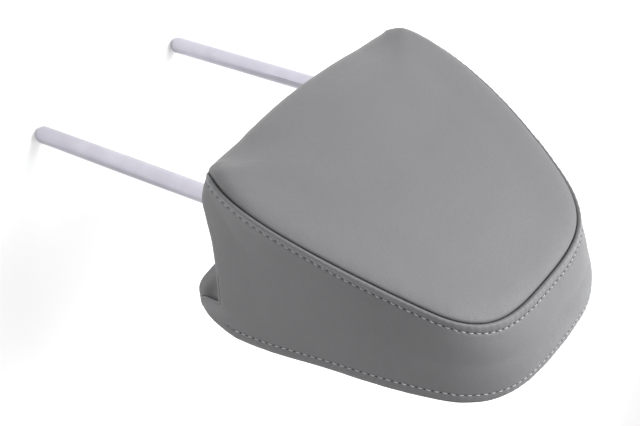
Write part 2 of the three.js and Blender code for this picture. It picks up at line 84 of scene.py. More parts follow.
COARSE_STRIP, COARSE_BAND, COARSE_EDGES, COARSE_STEPS = 14, 52, [0, 4], 23
COARSE_RINGS = (0.97, 0.92, 0.84, 0.72, 0.56, 0.38, 0.18)
CLOTH_VOXEL = 5.5
CLOTH_FRAMES = 20
CLOTH_PRESSURE = 4
CLOTH_STIFFNESS = 15
CLOTH_PINNED, CLOTH_FREE = 4, 26
CLOTH_CAP = 4.5
CLOTH_SHRINK, SHRINK_REACH = 2.2, (3, 40)
LIFT_POINTS, LIFT_RADIUS = 6, 6

FOAM_VOXEL, FOAM_INSET, FOAM_UNEVEN = 4, 2.6, 0.3

TUBE_RADIUS, POST_X, STRAIGHT = 7, 80, 234
LEAN, BEND_RADIUS, CORNER_RADIUS, FRAME_HEIGHT = math.radians(24), 40, 35, 100
TIP_FLAT, NOSE = 2.5, 5
NOTCH_STARTS, NOTCH_DEPTH, NOTCH_HEIGHT = (62, 82, 102), 1.5, 5
COLLAR_BORE, COLLAR_SLEEVE, COLLAR_FLANGE, COLLAR_ROUND = 7.5, 9.6, 11.5, 1.4


# ---------------------------------------------------------------- small helpers
def lerp(a, b, t):
    return a + (b - a) * t


def smoothstep(value, low, high):
    u = np.clip((value - low) / (high - low), 0, 1)
    return u * u * (3 - 2 * u)


def bump(distance, centre, width):
    return np.exp(-(((distance - centre) / width) ** 2))


def unit(vectors):
    return vectors / np.maximum(np.linalg.norm(vectors, axis=-1, keepdims=True), 1e-9)


def bezier(points, u):
    last = len(points) - 1
    weights = [math.comb(last, k) * (1 - u) ** (last - k) * u ** k for k in range(last + 1)]
    return sum(np.outer(w, p) for w, p in zip(weights, points))


def lengths(points):
    """Distance along a row of points, from the first."""
    steps = np.linalg.norm(np.diff(points, axis=0), axis=1)
    return np.concatenate([[0], np.cumsum(steps)])


def between(points, places, wanted):
    """Points read off a row at the wanted places, where places gives each point's own."""
    return np.stack([np.interp(wanted, places, points[:, k]) for k in range(3)], axis=1)


def at_lengths(points, wanted):
    return between(points, lengths(points), wanted)


def flat_noise(points, scale, shift=(0, 0, 0)):
    """Smooth noise at each point, in the shape of the points without their last axis."""
    move = Vector(shift)
    made = [noise.noise(Vector(p) * scale + move) for p in points.reshape(-1, 3)]
    return np.array(made).reshape(points.shape[:-1])


def make_object(name, points, faces):
    mesh = bpy.data.meshes.new(name)
    mesh.from_pydata((np.asarray(points) * MM).tolist(), [], faces)
    mesh.update()
    mesh.shade_smooth()
    made = bpy.data.objects.new(name, mesh)
    bpy.context.scene.collection.objects.link(made)
    return made


def turn_outwards(obj):
    """Flips all faces if most of their area looks towards the middle."""
    mesh = obj.data
    centre = sum((v.co for v in mesh.vertices), Vector()) / len(mesh.vertices)
    score = sum(p.normal.dot(p.center - centre) * p.area for p in mesh.polygons)
    if score < 0:
        mesh.flip_normals()


def bake_modifiers(obj):
    """Replaces an object's mesh by its evaluated one and drops the modifiers."""
    graph = bpy.context.evaluated_depsgraph_get()
    mesh = bpy.data.meshes.new_from_object(obj.evaluated_get(graph), depsgraph=graph)
    obj.modifiers.clear()
    obj.data = mesh


# ---------------------------------------------------------------- form of the head
def front_profile(z):
    rise = np.clip((z - 205) / 189, 0, 1)
    return -49.5 + 0.483 * (z - 205) - 28 * rise * (1 - rise)


def front_seam_y(x, z):
    wrap = np.maximum(0, (211 - z) / 18) ** 2
    forward = 13 * (1 - (x / FRONT_EDGE) ** 2)
    return front_profile(z) + wrap * (16 - forward)


def rear_seam_y(z):
    rise = np.clip((z - 218) / 188, 0, 1)
    tuck = np.maximum(0, (250 - z) / 79) ** 1.5
    return 81 + 0.088 * (z - 218) - 32 * rise * (1 - rise) - 10 * tuck


FRONT_PANEL["profile"], REAR_PANEL["profile"] = front_profile, rear_seam_y


def half_loop(t):
    """Dense points of the right half of the loop at share t of the depth, from the middle of the
    underside up, and the index of the J line, where the underside meets the side."""
    drop = 1 - (1 - np.clip((t - LIP_START) / (LIP_END - LIP_START), 0, 1)) ** LIP_EASE
    eased = t + np.linspace(-UNDERSIDE_EASE, UNDERSIDE_EASE, 9)
    level = np.interp(eased, *zip(*UNDERSIDE)).mean()
    low = lerp(level, LIP_Z, drop)
    blunt = 1 - smoothstep(t, 0, BLUNT_DEPTH)
    corner = [
        lerp(lerp(a, b, blunt), c, drop) for a, b, c in zip(FRONT_CORNER, BLUNT_CORNER, REAR_CORNER)
    ]
    edge = lerp(FRONT_EDGE, REAR_EDGE, t) + BLUNT_FLARE * blunt
    top = lerp(FRONT_TOP, REAR_TOP, t)
    foot, heel = (edge, low + corner[1]), (edge - corner[0], low)
    waist, armpit, shoulder, crest = [
        tuple(lerp(a, b, t) for a, b in zip(f, r)) for f, r in zip(FRONT_OUTLINE, REAR_OUTLINE)
    ]
    lean = (waist[0] - foot[0]) / (waist[1] - foot[1])
    toe = (edge - lerp(1, corner[1] * lean, blunt), low)
    u = np.linspace(0, 1, CURVE_STEPS + 1)
    runs = [
        bezier([(0, low), heel], u),
        bezier([heel, toe, foot], u),
        bezier([foot, waist, armpit, shoulder], u),
        bezier([shoulder, crest, (TOP_HANDLE_X, top), (0, top)], u),
    ]
    outline = np.concatenate([runs[0]] + [run[1:] for run in runs[1:]])
    x, z = outline[:, 0], outline[:, 1]
    swell = 4 * t * (1 - t)
    lip_phase = np.clip((t - LIP_START) / (1 - LIP_START), 0, 1)
    height = np.clip((z - 300) / 100, 0, 1)
    across = np.maximum(0, 1 - (x / heel[0]) ** 2)
    hang = LIP_BELLY * math.sin(math.pi * lip_phase ** 2)
    hang += FRONT_BELLY[0] * bump(t, *FRONT_BELLY[1:])
    belly = hang * across * (z < level + 0.01)
    points = np.stack(
        [
            x * (1 + SIDE_SWELL * swell),
            lerp(front_seam_y(x, z), rear_seam_y(z), t),
            z + TOP_SWELL * swell * height ** 2 - belly,
        ],
        axis=1,
    )
    return points, CURVE_STEPS * 3 // 2


def loop(t, strip_columns, band_columns, edges):
    """One closed loop: from the right J line over the top to the left one, then back underneath."""
    half, j = half_loop(t)
    along = lengths(half)
    under, over = along[j], along[-1] - along[j]
    rest = np.linspace(edges[-1], under, strip_columns - len(edges) + 2)[1:]
    strip = under - np.concatenate([edges, rest])
    rest = np.linspace(edges[-1], over, band_columns - len(edges) + 2)[1:]
    band = under + np.concatenate([edges, rest])
    flip = np.array([-1, 1, 1])
    right_band, right_strip = at_lengths(half, band), at_lengths(half, strip)
    left_band, left_strip = right_band[-2::-1] * flip, right_strip * flip
    return np.concatenate([right_band, left_band, left_strip[1:], right_strip[-2:0:-1]])


def head_grid(strip_columns, band_columns, edges, steps):
    shares = np.linspace(0, 1, steps)
    return np.stack([loop(t, strip_columns, band_columns, edges) for t in shares])


def rows_between(grid, start, end, middle):
    """The grid's columns cut again at distances start from the first row, end from the last, and
    middle even steps between. Also returns each row's distance from the first and the last row."""
    columns, from_first, from_last = [], [], []
    for k in range(grid.shape[1]):
        line = grid[:, k]
        total = lengths(line)[-1]
        fit = min(1, 0.85 * total / (start[-1] + end[-1]))
        even = np.linspace(start[-1] * fit, total - end[-1] * fit, middle + 2)[1:-1]
        wanted = np.concatenate([np.array(start) * fit, even, total - np.array(end[::-1]) * fit])
        columns.append(at_lengths(line, wanted))
        from_first.append(wanted)
        from_last.append(total - wanted)
    return np.stack(columns, 1), np.stack(from_first, 1), np.stack(from_last, 1)


def band_normals(grid):
    """Outward normals of a grid that covers the band."""
    normals = unit(np.cross(np.gradient(grid, axis=1), np.gradient(grid, axis=0)))
    return -normals if normals[len(grid) // 2, BAND_COLUMNS][2] < 0 else normals


def rounded(rim, radius):
    """A closed loop with everything tighter than about radius evened out."""
    closed = np.concatenate([rim, rim[:1]])
    along = lengths(closed)
    even = np.arange(ROUNDING_STEPS) * along[-1] / ROUNDING_STEPS
    wave = 2 * np.pi * np.arange(ROUNDING_STEPS // 2 + 1) / along[-1]
    damping = np.exp(-((wave * radius) ** 2) / 2)
    smooth = np.stack(
        [
            np.fft.irfft(np.fft.rfft(np.interp(even, along, closed[:, k])) * damping)
            for k in range(3)
        ],
        axis=1,
    )
    smooth = np.concatenate([smooth, smooth[:1]])
    even = np.append(even, along[-1])
    return between(smooth, even, along[:-1])


def panel_ring(rim, centre, crown, r):
    """The ring of a crowned panel at share r of the way from its centre to its rim."""
    rim = rounded(rim, (1 - r) ** 1.5 * PANEL_ROUNDING)
    low = smoothstep(260 - rim[:, 2], 0, 60)
    edge = lerp(crown["side"], crown["bottom"], low)
    height = lerp(crown["middle"], edge, r ** 4) * math.sqrt(max(0, 1 - r ** crown["squareness"]))
    ring = lerp(centre, rim, r)
    profile = crown["profile"]
    ring[:, 1] = profile(ring[:, 2]) + (rim[:, 1] - profile(rim[:, 2])) * r ** 9
    return ring + np.outer(height, crown["direction"])


def panel_centre(rim, crown):
    middle = (rim[:, 2].min() + rim[:, 2].max()) / 2
    return np.array([0, crown["profile"](middle), middle])


# ---------------------------------------------------------------- faces of grids and discs
def grid_faces(index):
    """Faces of a grid of vertex numbers."""
    a, b, c, d = (part.ravel().tolist() for part in
                  (index[:-1, :-1], index[:-1, 1:], index[1:, 1:], index[1:, :-1]))
    return list(zip(a, b, c, d))


def disc(rings):
    """Faces of closed rings given from the rim inwards, each as long as the last or half of it,
    and a last single point."""
    faces, first = [], 0
    for outer, inner in zip(rings, rings[1:]):
        n, m, base = len(outer), len(inner), first + len(outer)
        for k in range(m):
            near, far = base + k, base + (k + 1) % m
            if m == 1:
                faces += [(first + i, first + (i + 1) % n, base) for i in range(n)]
            elif m == n:
                faces.append((first + k, first + (k + 1) % n, far, near))
            else:
                a, b, c = (first + (2 * k + i) % n for i in range(3))
                faces += [(a, b, near), (b, far, near), (b, c, far)]
        first = base
    return faces


# ---------------------------------------------------------------- cloth simulation of the head
def coarse_head():
    """Closed coarse mesh of the whole head, and its seam lines as points."""
    grid = head_grid(COARSE_STRIP, COARSE_BAND, COARSE_EDGES, COARSE_STEPS)
    rows, columns = grid.shape[:2]
    index = np.arange(rows * columns).reshape(rows, columns)
    faces = grid_faces(np.column_stack([index, index[:, 0]]))
    points = [grid.reshape(-1, 3)]
    total = rows * columns
    for row, crown, flip in ((0, FRONT_PANEL, True), (rows - 1, REAR_PANEL, False)):
        rim = grid[row]
        centre = panel_centre(rim, crown)
        rings = [panel_ring(rim, centre, crown, r) for r in COARSE_RINGS]
        rings.append(centre[None] + np.array(crown["direction"]) * crown["middle"])
        made = []
        for k in range(columns):
            n = (k + 1) % columns
            made.append((row * columns + k, row * columns + n, total + n, total + k))
        made += [tuple(total + i for i in f) for f in disc(rings)]
        faces += [f[::-1] for f in made] if flip else made
        points += rings
        total += sum(len(r) for r in rings)
    left_j = 2 * COARSE_BAND
    seams = np.concatenate([
        grid[0, : left_j + 1], grid[-1, : left_j + 1], grid[:, 0], grid[:, left_j],
        grid[-3, left_j + 1:],
    ])
    return np.concatenate(points), faces, seams


def simulate_head():
    """Blows the sewn cover up with Blender's cloth, pinned along the seams.
    Returns the places on the rest surface and how far each one moved outwards, in mm."""
    points, faces, seams = coarse_head()
    body = make_object("cloth_head", points, faces)
    remesh = body.modifiers.new("Remesh", "REMESH")
    remesh.mode = "VOXEL"
    remesh.voxel_size = CLOTH_VOXEL * MM
    bake_modifiers(body)
    rest = np.array([v.co for v in body.data.vertices]) / MM
    normals = np.array([v.normal for v in body.data.vertices])
    pins = body.vertex_groups.new(name="pins")
    for k, d in enumerate(distances(tree_of(seams), rest)):
        hold = 1 - 0.97 * smoothstep(d, CLOTH_PINNED, CLOTH_FREE)
        pins.add([k], float(hold), "REPLACE")
    cloth = body.modifiers.new("Cloth", "CLOTH")
    settings = cloth.settings
    settings.quality = 5
    settings.use_pressure = True
    settings.uniform_pressure_force = CLOTH_PRESSURE
    settings.effector_weights.gravity = 0
    settings.tension_stiffness = CLOTH_STIFFNESS
    settings.compression_stiffness = CLOTH_STIFFNESS
    settings.bending_stiffness = 2
    settings.vertex_group_mass = "pins"
    settings.pin_stiffness = 1
    cloth.point_cache.frame_start = 1
    cloth.point_cache.frame_end = CLOTH_FRAMES
    scene = bpy.context.scene
    for step in range(1, CLOTH_FRAMES + 1):
        scene.frame_set(step)
    bake_modifiers(body)
    moved = np.array([v.co for v in body.data.vertices]) / MM - rest
    scene.frame_set(1)
    bpy.data.objects.remove(body)
    outward = (moved * normals).sum(1)
    return rest, CLOTH_CAP * np.tanh(outward / CLOTH_CAP)


def tree_of(points):
    tree = kdtree.KDTree(len(points))
    for k, p in enumerate(points):
        tree.insert(p, k)
    tree.balance()
    return tree


def distances(tree, points):
    return np.array([tree.find(p)[2] for p in points])


class Softness:
    """How far the soft cover stands off the plain form at any point, from the cloth simulation."""

    def __init__(self, seams):
        self.seams = tree_of(seams)
        self.lift = None
        places, self.lift = simulate_head()
        self.tree = tree_of(places)

    def __call__(self, points):
        if self.lift is None:
            return np.zeros(points.shape[:-1])
        flat = points.reshape(-1, 3)
        offset = -CLOTH_SHRINK * smoothstep(distances(self.seams, flat), *SHRINK_REACH)
        for k, p in enumerate(flat):
            found = self.tree.find_n(p, LIFT_POINTS)
            weights = [math.exp(-(d / LIFT_RADIUS) ** 2) for _, _, d in found]
            lift = sum(w * self.lift[i] for w, (_, i, _) in zip(weights, found))
            offset[k] += lift / max(sum(weights), 1e-9)
        return offset.reshape(points.shape[:-1])


# ---------------------------------------------------------------- seam relief, in mm
def front_roll(d, ripple, full, stitched):
    """Groove at the seam, the raised roll over the seam allowance, then the stitched furrow.
    The ripple is 1 in the middle of a stitch and -1 at its holes."""
    groove = -2.4 * np.exp(-d / 0.38)
    roll = (2.2 + 0.12 * ripple * stitched) * bump(d, 1.7, np.where(d < 1.7, 1.2, 4.1)) * full
    furrow = -(0.6 - 0.2 * ripple) * bump(d, FRONT_STITCH, 1.0) * stitched
    return groove + roll + furrow + 0.16 * bump(d, 10, 2)


def rear_roll(d, ripple, full, stitched):
    """The same at the rear seam, where the roll is lower."""
    groove = -2.0 * np.exp(-d / 0.5)
    roll = (0.8 + 0.08 * ripple * stitched) * bump(d, 1.9, np.where(d < 1.9, 1.2, 3.5)) * full
    furrow = -(0.5 - 0.14 * ripple) * bump(d, REAR_STITCH, 0.85) * stitched
    return groove + roll + furrow + 0.12 * bump(d, 9.4, 1.8)


def puckers(points, d, strength):
    """Slight gathers across a seam, fading with the distance from it."""
    made = flat_noise(points, 0.085) + 0.5 * flat_noise(points, 0.19, (7, 3, 1))
    return strength * made * np.exp(-d / 11) * (1 - np.exp(-d / 2.5))


def undulation(points, strength):
    """The very slight unevenness of foam under a stretched cover."""
    return strength * flat_noise(points, 0.021, (2, 9, 4))


def store(obj, name, values):
    """Keeps a number for each vertex, for the materials to read."""
    attribute = obj.data.attributes.new(name, "FLOAT", "POINT")
    attribute.data.foreach_set("value", np.asarray(values, np.float32).ravel())


OUTER_SKINS = []


def give_skin(obj):
    """Turns an open surface into a closed cover of the leatherette's thickness."""
    mesh = obj.data
    OUTER_SKINS.append(
        BVHTree.FromPolygons([v.co for v in mesh.vertices], [p.vertices for p in mesh.polygons])
    )
    skin = obj.modifiers.new("Skin", "SOLIDIFY")
    skin.thickness = SKIN * MM
    skin.offset = -1
    bake_modifiers(obj)
    obj.data.shade_smooth()


FINE = head_grid(STRIP_COLUMNS, BAND_COLUMNS, EDGE_SPACING, DEPTH_STEPS)
BAND_END = 2 * BAND_COLUMNS
UNDER = list(range(BAND_END, FINE.shape[1])) + [0]
STRIP = FINE[:, UNDER]


def strip_between(low, high, steps=70):
    """The underside between two shares of the depth, each given for the middle and the J lines."""
    shares = np.linspace(0, 1, len(STRIP))
    aside = np.abs(STRIP[-1, :, 0]) / np.abs(STRIP[-1, :, 0]).max()
    columns = []
    for k, out in enumerate(aside ** 2):
        wanted = np.linspace(lerp(*low, out), lerp(*high, out), steps)
        columns.append(between(STRIP[:, k], shares, wanted))
    return np.stack(columns, 1)


SEAM_POINTS = np.concatenate([
    FINE[0, : BAND_END + 1 : 3],
    FINE[-1, : BAND_END + 1 : 3],
    FINE[:, 0],
    FINE[:, BAND_END],
    strip_between(SLIT_T, SLIT_T, 2)[0],
])
soft = Softness(SEAM_POINTS)


# ---------------------------------------------------------------- side band
def end_distances(rows):
    """Distance of each point, along its row, from the nearer end of the row."""
    along = np.stack([lengths(row) for row in rows])
    return np.minimum(along, along[:, -1:] - along)


FRONT_ROWS = [
    SEAM_GAP, 0.45, 0.7, 1.0, 1.4, 1.9, 2.5, 3.1, 3.7, 4.3, 4.9, 5.5, 6.0, 6.4, 6.8, FRONT_STITCH,
    7.8, 8.2, 8.7, 9.5, 10.5, 12, 14, 17,
]
REAR_ROWS = [
    SEAM_GAP, 0.45, 0.7, 1.0, 1.4, 1.9, 2.4, 2.9, 3.4, 4.0, 4.6, 5.2, 5.8, 6.3, REAR_STITCH,
    7.3, 7.9, 8.6, 9.6, 11, 13.5,
]
BETWEEN_ROWS, WELT = 22, 4.2
NEAR_SEAM = 5


def lean_in(normals, seam_normals, d):
    """Near a seam both sides sink along one shared direction, away from it along their own."""
    share = smoothstep(SEAM_REACH - d, 0, SEAM_REACH)[..., None]
    return unit(normals * (1 - share) + seam_normals * share)


def stitch_phase(points):
    return lengths(points) / STITCH_PITCH


def make_band():
    """The side band, with its surface points, their normals, and the rows and phases of the
    stitches. The phase counts stitches along a row."""
    base, d_front, d_rear = rows_between(
        FINE[:, : BAND_END + 1], FRONT_ROWS, REAR_ROWS, BETWEEN_ROWS
    )
    normals = band_normals(base)
    d_side = end_distances(base)
    t = d_front / (d_front + d_rear)
    front_row = FRONT_ROWS.index(FRONT_STITCH)
    rear_row = len(base) - 1 - REAR_ROWS.index(REAR_STITCH)
    front_phase, rear_phase = stitch_phase(base[front_row]), stitch_phase(base[rear_row])
    nearer_front = (d_front - FRONT_STITCH) < (d_rear - REAR_STITCH)
    phase = np.where(nearer_front, front_phase[None], rear_phase[None])
    ripple = np.cos(2 * np.pi * (phase + 0.5))
    from_stitch = np.where(nearer_front, d_front - FRONT_STITCH, d_rear - REAR_STITCH)
    full = lerp(0.2, 1, smoothstep(d_side, 1, 18))
    front_sewn = smoothstep(d_side, *FRONT_SEWN_FROM)
    rear_sewn = smoothstep(d_side, *REAR_SEWN_FROM)
    relief = front_roll(d_front, ripple, full, front_sewn)
    relief += rear_roll(d_rear, ripple, full, rear_sewn)
    from_stitch = from_stitch + OFF_ROW * (np.where(nearer_front, front_sewn, rear_sewn) < 0.5)
    rearwards = smoothstep(t, 0.5, 0.6)
    side_depth = lerp(1.5, 0.3, smoothstep(t, SLIT_T[0], SLIT_T[1]))
    relief -= side_depth * np.exp(-d_side / 0.6) + 0.6 * rearwards * bump(d_side, WELT, 0.7)
    d_seam = np.minimum(np.minimum(d_front, d_rear), d_side)
    relief += puckers(base, d_seam, 0.5) + undulation(base, 0.5)
    seam_front = unit(normals[NEAR_SEAM] + np.array(FRONT_PANEL["direction"]))
    seam_rear = unit(normals[-1 - NEAR_SEAM] + np.array(REAR_PANEL["direction"]))
    direction = lean_in(normals, seam_front[None], d_front)
    direction = lean_in(direction, seam_rear[None], d_rear)
    surface = base + normals * soft(base)[..., None] + direction * relief[..., None]
    faces = grid_faces(np.arange(d_side.size).reshape(d_side.shape))
    band = make_object("side_band", surface.reshape(-1, 3), faces)
    turn_outwards(band)
    store(band, "stitch_phase", phase)
    store(band, "stitch_aside", from_stitch)
    # Painted shade: the groove value darkens the leatherette along both seams, along the band's
    # lower edge on the rear half, and along the welt there.
    before_lip = t < LIP_START
    edge = rearwards * lerp(1, 0.45, smoothstep(t, 0.86, 0.9)) * np.maximum(
        bump(d_side, 0.3, np.where(before_lip, 1.3, 2)), bump(d_side, WELT, 0.8) * before_lip
    )
    seams = 0.85 * np.maximum(bump(d_front, 0, 0.5), bump(d_rear, 0, 0.5))
    store(band, "groove", np.maximum(seams, edge))
    # Painted highlight: marks the front roll, which the leatherette lightens in patches.
    store(band, "ridge", bump(d_front, 3.4, 1.6))
    give_skin(band)
    rows = ((front_row, front_phase), (rear_row, rear_phase))
    return band, surface, band_normals(surface), rows


# ---------------------------------------------------------------- front and rear covers
# Distances of a panel's rings from its rim, and those at which every second column is dropped.
RING_STEPS = [
    0, 0.25, 0.55, 0.95, 1.5, 2.2, 3.2, 4.6, 6.5, 9, 12, 15, 19, 24, 30, 37, 45, 54, 64, 75, 86,
]
HALVED_AT = (15, 30, 54)
EVEN_FROM, PANEL_REACH = 40, 96
RELAX_PASSES = 50


def thinned(values, rings, centre):
    """A value for each point of the rings, taken from the value of its column at the rim."""
    whole = len(rings[0])
    return np.concatenate([values[:: whole // len(r)] if len(r) > 1 else [centre] for r in rings])


def panel_rings(rim, crown, seam_normals, seam_share):
    """Rings of a crowned panel from the rim inwards. For each of their points, also its distance
    from the rim, how far the rim there is a seam, and the direction in which that seam sinks."""
    centre = panel_centre(rim, crown)
    direction = np.array(crown["direction"])
    reach = np.linalg.norm(rim - centre, axis=1).mean()
    rings, depth, kept = [], [], rim
    for d in RING_STEPS:
        if d in HALVED_AT:
            kept = kept[::2]
        share = 1 - d / (PANEL_REACH if d > EVEN_FROM else reach)
        rings.append(panel_ring(kept, centre, crown, share))
        depth.append(np.full(len(kept), float(d)))
    rings.append(centre[None] + direction * crown["middle"])
    depth.append(np.array([reach]))
    share, sink = thinned(seam_share, rings, 0), thinned(seam_normals, rings, direction)
    return rings, np.concatenate(depth), share, sink


def vertex_normals(points, faces):
    mesh = bpy.data.meshes.new("scratch")
    mesh.from_pydata(points.tolist(), [], faces)
    mesh.update()
    found = np.array([v.normal for v in mesh.vertices])
    bpy.data.meshes.remove(mesh)
    return found


def relax(points, faces, share):
    """Evens a surface out where share is above 0, by moving points to their neighbours' middle."""
    pairs = np.array([(f[k], f[(k + 1) % len(f)]) for f in faces for k in range(len(f))])
    pairs = np.unique(np.sort(pairs, axis=1), axis=0)
    both = np.concatenate([pairs, pairs[:, ::-1]])
    count = np.bincount(both[:, 0], minlength=len(points))
    points = points.copy()
    for _ in range(RELAX_PASSES):
        total = np.stack(
            [np.bincount(both[:, 0], points[both[:, 1], k], len(points)) for k in range(3)], axis=1
        )
        points += share[:, None] * 0.6 * (total / count[:, None] - points)
    return points


def make_cover(name, row, strip_grid, strip_start, strip_end, middle, crown, band_side):
    """A crowned panel together with its strip of the underside, as one piece of cover."""
    rim = FINE[row]
    seam_normals = np.tile(np.array(crown["direction"], float), (len(rim), 1))
    seam_normals[: BAND_END + 1] += band_side
    seam_normals[BAND_END + 1:] += np.array([0, 0, -1.0])
    seam_normals = unit(seam_normals)
    seam_share = np.ones(len(rim))
    column = np.arange(len(rim))
    past_j = np.minimum(column - BAND_END, len(rim) - column)
    seam_share[BAND_END + 1:] = 1 - smoothstep(past_j[BAND_END + 1:], 0, 9)
    rings, depth, share, sink = panel_rings(rim, crown, seam_normals, seam_share)
    faces = disc(rings)
    panel = len(depth)
    strip, from_rim, from_slit = rows_between(strip_grid, strip_start, strip_end, middle)
    d_side = end_distances(strip)
    rows, columns = d_side.shape
    index = np.vstack([UNDER, panel + np.arange((rows - 1) * columns).reshape(rows - 1, columns)])
    faces += [(b, a, d, c) for a, b, c, d in grid_faces(index)]
    points = np.concatenate([*rings, strip[1:].reshape(-1, 3)])
    d_rim = np.concatenate([depth, from_rim[1:].ravel()])
    in_strip = np.arange(len(points)) >= panel
    column_share = np.concatenate([1 - share, np.tile(1 - seam_share[UNDER], rows - 1)])
    crease = column_share * (1 - smoothstep(d_rim, 3, 9))
    bottom = np.concatenate([
        thinned((column > BAND_END).astype(float), rings, 0), np.ones((rows - 1) * columns),
    ])
    inside = np.where(in_strip, 0, 0.8 * smoothstep(d_rim, 5, 14))
    points = relax(points, faces, np.maximum(crease * bottom, inside))
    normals = vertex_normals(points, faces)
    if normals[panel - 1] @ np.array(crown["direction"]) < 0:
        faces = [f[::-1] for f in faces]
        normals = -normals
    share = np.concatenate([share, np.zeros(len(points) - panel)])
    off_strip = np.full(panel, float(FAR_OFF))
    d_j = np.concatenate([off_strip, d_side[1:].ravel()])
    d_slit = np.concatenate([off_strip, from_slit[1:].ravel()])
    front = 1.0 if row == 0 else 0.25
    relief = -1.7 * np.exp(-d_rim / 0.4) * share
    relief -= front * (2.2 * np.exp(-d_j / 0.8) + 0.8 * bump(d_j, 3.2, 0.6))
    opening = smoothstep(d_j, 1, 12)
    relief -= opening * (2.4 * np.exp(-d_slit / 0.8) - 0.5 * bump(d_slit, 3.2, 2))
    # The recess beside the slit on the front cover is sunk into the surface below, and is also
    # painted as shade through the groove value.
    recess = (row == 0) * bump(d_slit, 18, 15) * lerp(0.5, 1, bump(d_j, 2, 20))
    relief -= 1.5 * recess
    seam_near = np.where(share > 0.5, d_rim, FAR_OFF)
    seam_near = np.where(in_strip, np.minimum(d_j, d_slit), seam_near)
    relief += puckers(points, seam_near, 0.45) + undulation(points, 0.6)
    shared = np.concatenate([sink, normals[panel:]])
    sunk = lean_in(normals, shared, np.where(in_strip, FAR_OFF, d_rim))
    surface = points + normals * soft(points)[:, None] + sunk * relief[:, None]
    cover = make_object(name, surface, faces)
    turn_outwards(cover)
    # Painted shade: the groove value darkens the seam groove, the slit, the J line and the recess
    # beside the slit.
    groove = np.maximum(0.85 * bump(d_rim, 0, 0.45) * share, bump(d_slit, 0, 1.3) * opening)
    j_line = np.maximum(bump(d_j, 0, 1.7), bump(d_j, 3.2, 0.7))
    groove = np.maximum(groove, front * lerp(0.5, 1, smoothstep(d_slit, 4, 14)) * j_line)
    store(cover, "groove", np.maximum(groove, 0.92 * recess))
    store(cover, "ridge", np.zeros(len(surface)))
    store(cover, "stitch_phase", np.zeros(len(surface)))
    store(cover, "stitch_aside", np.full(len(surface), float(OFF_ROW)))
    give_skin(cover)
    return cover


band, band_surface, band_facing, stitch_rows = make_band()
SLIT_EDGE = [0.3, 0.5, 0.8, 1.2, 1.7, 2.3, 3, 4, 5.5, 7.5, 10]
front_cover = make_cover(
    "front_panel", 0, strip_between((0, 0), SLIT_T), [0, 1.5, 3, 5, 7, 9.5, 12, 15], SLIT_EDGE, 26,
    FRONT_PANEL, band_facing[NEAR_SEAM],
)
rear_cover = make_cover(
    "rear_panel", -1, strip_between(SLIT_T, (1, 1))[::-1], [0, 0.8, 1.7, 2.7], SLIT_EDGE[:7], 1,
    REAR_PANEL, band_facing[-1 - NEAR_SEAM],
)


# ---------------------------------------------------------------- topstitching
def stitch_row(name, line, facing, phase, slant, seed, skip):
    """A row of thread stitches along a line on the cover, each one diving into its needle holes.
    The row starts and ends skip mm from the line's ends."""
    rng = random.Random(seed)
    count = int(phase[-1])
    left_out = math.ceil(skip / STITCH_PITCH)
    across_steps, ring = 9, 8
    points, faces = [], []
    for k in range(left_out, count - left_out):
        wanted = np.linspace(k + 0.2, k + 0.8, across_steps)
        path, out = between(line, phase, wanted), unit(between(facing, phase, wanted))
        ahead = unit(np.gradient(path, axis=0))
        side = unit(np.cross(ahead, out))
        tilt = slant + rng.uniform(-0.1, 0.1)
        size = THREAD_RADIUS * rng.uniform(0.85, 1.1)
        base = len(points)
        for i, u in enumerate(np.linspace(-1, 1, across_steps)):
            lift = 0.42 * (1 - u ** 4) - 0.5 * u ** 4
            thick = size * (1 - 0.35 * u ** 6)
            middle = path[i] + out[i] * lift + side[i] * tilt * u * STITCH_PITCH / 2
            for j in range(ring):
                angle = 2 * math.pi * j / ring
                around = side[i] * math.cos(angle) + out[i] * 0.82 * math.sin(angle)
                points.append(middle + thick * around)
        for i in range(across_steps - 1):
            for j in range(ring):
                a, b = base + i * ring + j, base + i * ring + (j + 1) % ring
                faces.append((a, b, b + ring, a + ring))
        faces.append(tuple(base + j for j in range(ring))[::-1])
        faces.append(tuple(base + (across_steps - 1) * ring + j for j in range(ring)))
    made = make_object(name, points, faces)
    turn_outwards(made)
    return made


(front_row, front_phase), (rear_row, rear_phase) = stitch_rows
front_stitches = stitch_row(
    "front_topstitch", band_surface[front_row], band_facing[front_row], front_phase, 0.07, 11,
    FRONT_SEWN_FROM[1],
)
rear_stitches = stitch_row(
    "rear_topstitch", band_surface[rear_row], band_facing[rear_row], rear_phase, 0.05, 12,
    REAR_SEWN_FROM[1],
)


